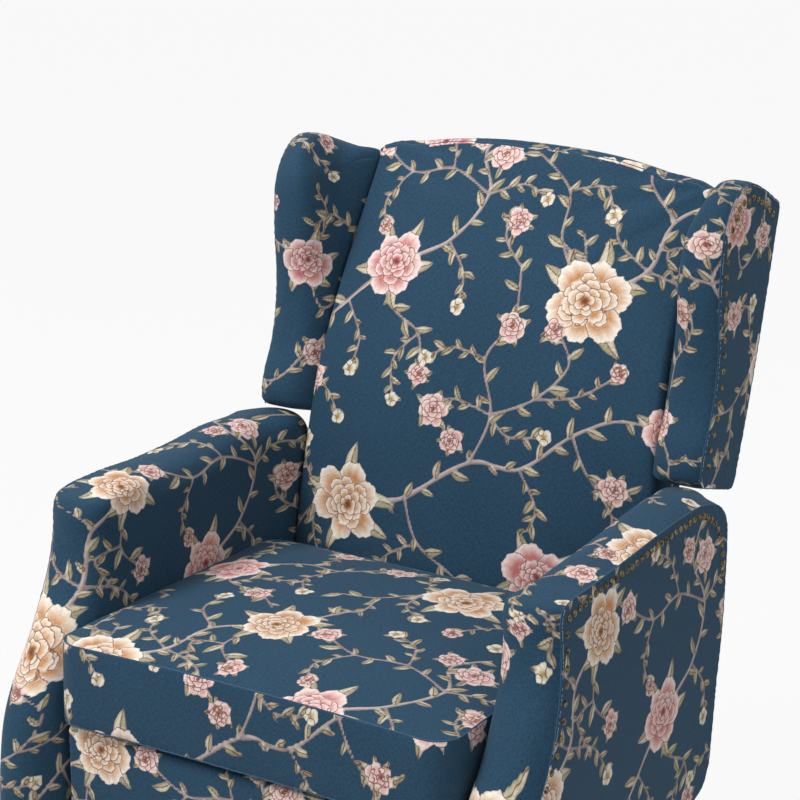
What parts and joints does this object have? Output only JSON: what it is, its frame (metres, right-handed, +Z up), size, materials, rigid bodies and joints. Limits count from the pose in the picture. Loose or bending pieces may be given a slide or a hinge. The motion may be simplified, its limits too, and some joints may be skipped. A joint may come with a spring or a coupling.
{
  "type": "swivel rocker recliner",
  "caption": "Upholstered wing-back armchair that turns on a floor ring, rocks on cams, leans back and lifts a footrest by a side lever.",
  "frame": {"origin": "on the floor, at the swivel axis, in the middle of the floor ring", "axes": "+Z up along the swivel axis; the chair faces -Y; +X is the sitter's left"},
  "size_m": [0.7959, 0.7708, 1.0499],
  "materials": {
    "floral_fabric": "matte",
    "frame_wood": "matte",
    "lever_wood": "satin",
    "black_steel": "satin",
    "zinc_steel": "satin",
    "bearing_brass": "satin",
    "antique_bronze": "satin",
    "black_rubber": "matte"
  },
  "bodies": {
    "base": {"floor_pad": "black_rubber", "base_ring": "black_steel", "base_cross": "black_steel", "swivel_lower_plate": "black_steel", "kingpin": "zinc_steel", "bearing_cage": "bearing_brass", "bearing_balls": "zinc_steel", "base_bolts": "zinc_steel"},
    "turntable": {"swivel_upper_plate": "black_steel", "rocker_rail_left": "frame_wood", "rocker_rail_right": "frame_wood", "rocker_crossbars": "black_steel", "rocker_springs": "zinc_steel"},
    "chassis": {"rocker_cam_left": "frame_wood", "rocker_cam_right": "frame_wood", "spring_bars": "black_steel", "front_cross_tube": "black_steel", "rear_cross_tube": "black_steel", "side_plate_left": "black_steel", "side_plate_right": "black_steel", "seat_track_left": "black_steel", "seat_track_right": "black_steel", "arm_frame_left": "frame_wood", "arm_frame_right": "frame_wood", "arm_cover_left": "floral_fabric", "arm_cover_right": "floral_fabric", "arm_nails_left": "antique_bronze", "arm_nails_right": "antique_bronze", "rear_stretcher": "frame_wood", "rear_panel": "floral_fabric", "back_hinge_pins": "zinc_steel", "lever_bush": "black_rubber"},
    "seat": {"seat_rail_left": "frame_wood", "seat_rail_right": "frame_wood", "seat_front_bar": "frame_wood", "seat_rear_bar": "frame_wood", "seat_springs": "zinc_steel", "seat_cushion": "floral_fabric"},
    "back": {"back_uprights": "frame_wood", "back_rails": "frame_wood", "back_board": "floral_fabric", "back_pad": "floral_fabric", "back_bracket_left": "black_steel", "back_bracket_right": "black_steel", "wing_board_left": "floral_fabric", "wing_board_right": "floral_fabric", "wing_pad_left": "floral_fabric", "wing_pad_right": "floral_fabric", "wing_nails_left": "antique_bronze", "wing_nails_right": "antique_bronze"},
    "drive_links": {"drive_link_left": "zinc_steel", "drive_link_right": "zinc_steel", "torque_tube": "zinc_steel"},
    "carry_links": {"carry_link_left": "zinc_steel", "carry_link_right": "zinc_steel"},
    "footrest": {"footrest_board": "frame_wood", "footrest_pad": "floral_fabric", "footrest_brackets": "black_steel"},
    "lever": {"lever_handle": "lever_wood", "lever_shaft": "zinc_steel"}
  },
  "joints": [
    {"name": "swivel", "type": "hinge", "parent": "base", "child": "turntable", "pos_m": [0, 0, 0.044], "axis": [0, 0, 1], "continuous": true},
    {"name": "rock", "type": "hinge", "parent": "turntable", "child": "chassis", "pos_m": [0, 0, 0.35], "axis": [-1, 0, 0], "range_deg": [-6, 12], "stiffness_Nm_per_rad": 400, "springref_deg": 1.15, "deforming": ["rocker_springs"]},
    {"name": "recline", "type": "hinge", "parent": "chassis", "child": "back", "pos_m": [0, 0.15, 0.4], "axis": [-1, 0, 0], "range_deg": [0, 36]},
    {"name": "seat_slide", "type": "slide", "parent": "chassis", "child": "seat", "axis": [0, -1, 0], "range_m": [0, 0.045]},
    {"name": "footrest_drive", "type": "hinge", "parent": "chassis", "child": "drive_links", "pos_m": [0, -0.28, 0.34], "axis": [-1, 0, 0], "range_deg": [0, 142]},
    {"name": "footrest_carry", "type": "hinge", "parent": "drive_links", "child": "carry_links", "pos_m": [0, -0.087, 0.257], "axis": [1, 0, 0], "range_deg": [0, 120]},
    {"name": "footrest_tilt", "type": "hinge", "parent": "carry_links", "child": "footrest", "pos_m": [0, -0.295, 0.23], "axis": [-1, 0, 0], "range_deg": [0, 68]},
    {"name": "lever_turn", "type": "hinge", "parent": "chassis", "child": "lever", "pos_m": [0, -0.15, 0.315], "axis": [-1, 0, 0], "range_deg": [0, 75]}
  ],
  "couplings": [
    {"joint": "seat_slide", "follows": "recline", "m_per_rad": 0.0716},
    {"joint": "footrest_carry", "follows": "footrest_drive", "ratio": 0.845},
    {"joint": "footrest_tilt", "follows": "footrest_drive", "ratio": 0.4788},
    {"joint": "lever_turn", "follows": "footrest_drive", "ratio": 0.528}
  ]
}
